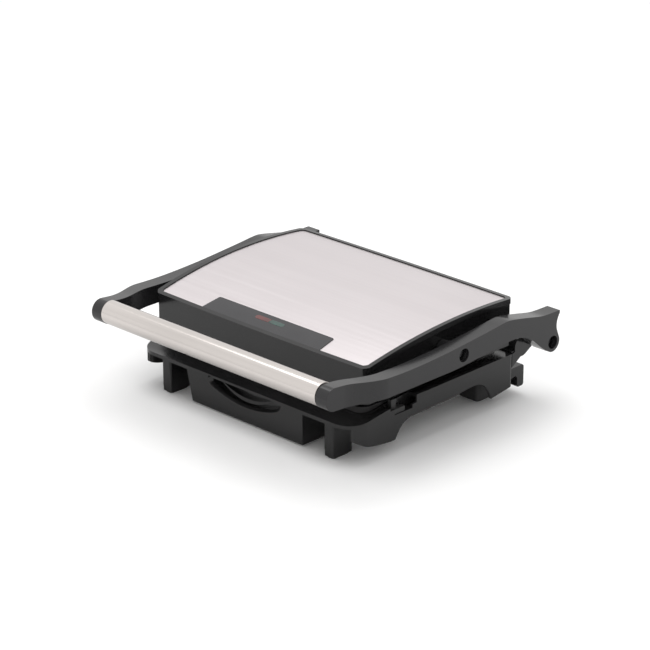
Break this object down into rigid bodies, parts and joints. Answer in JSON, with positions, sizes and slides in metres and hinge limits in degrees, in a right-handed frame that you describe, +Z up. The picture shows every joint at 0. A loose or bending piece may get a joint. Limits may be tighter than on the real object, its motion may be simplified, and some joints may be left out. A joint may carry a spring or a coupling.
{
  "type": "panini press",
  "caption": "Countertop contact grill with ribbed plates, an arched brushed steel lid on side arms joined by a round bar handle, and a pull-out drip tray under the front.",
  "frame": {"origin": "middle of the footprint on the table, under the centre of the overall bounding box", "axes": "+Z up, -Y towards the handle and the user, +X to the user's right"},
  "size_m": [0.359, 0.331, 0.1156],
  "materials": {
    "black_plastic": "moulded, satin gloss",
    "arm_plastic": "moulded, gloss",
    "cover_plastic": "gloss, dark grey",
    "underside_plastic": "moulded, matt",
    "foot_rubber": "soft, matt",
    "steel_skin": "fine brushed, warm satin",
    "handle_steel": "satin, brushed along the tube",
    "grill_aluminium": "cast, dark non-stick coating",
    "heater_steel": "oxidised tube",
    "reflector_sheet": "bright mill sheet",
    "control_metal": "plated",
    "ceramic": null,
    "screw_steel": "zinc plated",
    "nylon": "natural nylon",
    "red_lens": "translucent red",
    "green_lens": "translucent green",
    "lamp_glass": "clear neon lamps on a board"
  },
  "bodies": {
    "base": {"base_housing": "black_plastic", "bottom_cover": "underside_plastic", "foot_pads": "foot_rubber", "lower_grill_plate": "grill_aluminium", "lower_heater": "heater_steel", "lower_reflector": "reflector_sheet", "lower_thermostat": "control_metal", "terminal_block": "ceramic", "cord_inlet": "underside_plastic", "cover_screws": "screw_steel"},
    "tray": {"drip_tray": "black_plastic"},
    "lock": {"storage_lock": "underside_plastic"},
    "arms": {"arm_right": "arm_plastic", "arm_left": "arm_plastic", "handle_tube": "handle_steel", "handle_rod": "screw_steel", "hinge_pins": "screw_steel", "lid_pivot_pins": "screw_steel", "hinge_washers": "nylon"},
    "lid": {"lid_housing": "black_plastic", "top_skin": "steel_skin", "control_cover": "cover_plastic", "lens_red": "red_lens", "lens_green": "green_lens", "indicator_lamps": "lamp_glass", "upper_grill_plate": "grill_aluminium", "upper_heater": "heater_steel", "upper_reflector": "reflector_sheet", "upper_thermostat": "control_metal", "plate_screws": "screw_steel"}
  },
  "joints": [
    {"name": "arms_hinge", "type": "hinge", "parent": "base", "child": "arms", "pos_m": [0, 0.155, 0.063], "axis": [-1, 0, 0], "range_deg": [0, 180]},
    {"name": "lid_float", "type": "hinge", "parent": "arms", "child": "lid", "pos_m": [0, 0.01725, 0.09], "axis": [1, 0, 0], "range_deg": [-1.5, 1.5]},
    {"name": "tray_slide", "type": "slide", "parent": "base", "child": "tray", "axis": [0, -1, 0], "range_m": [0, 0.07]},
    {"name": "lock_slide", "type": "slide", "parent": "base", "child": "lock", "axis": [0, 1, 0], "range_m": [0, 0.008]}
  ]
}
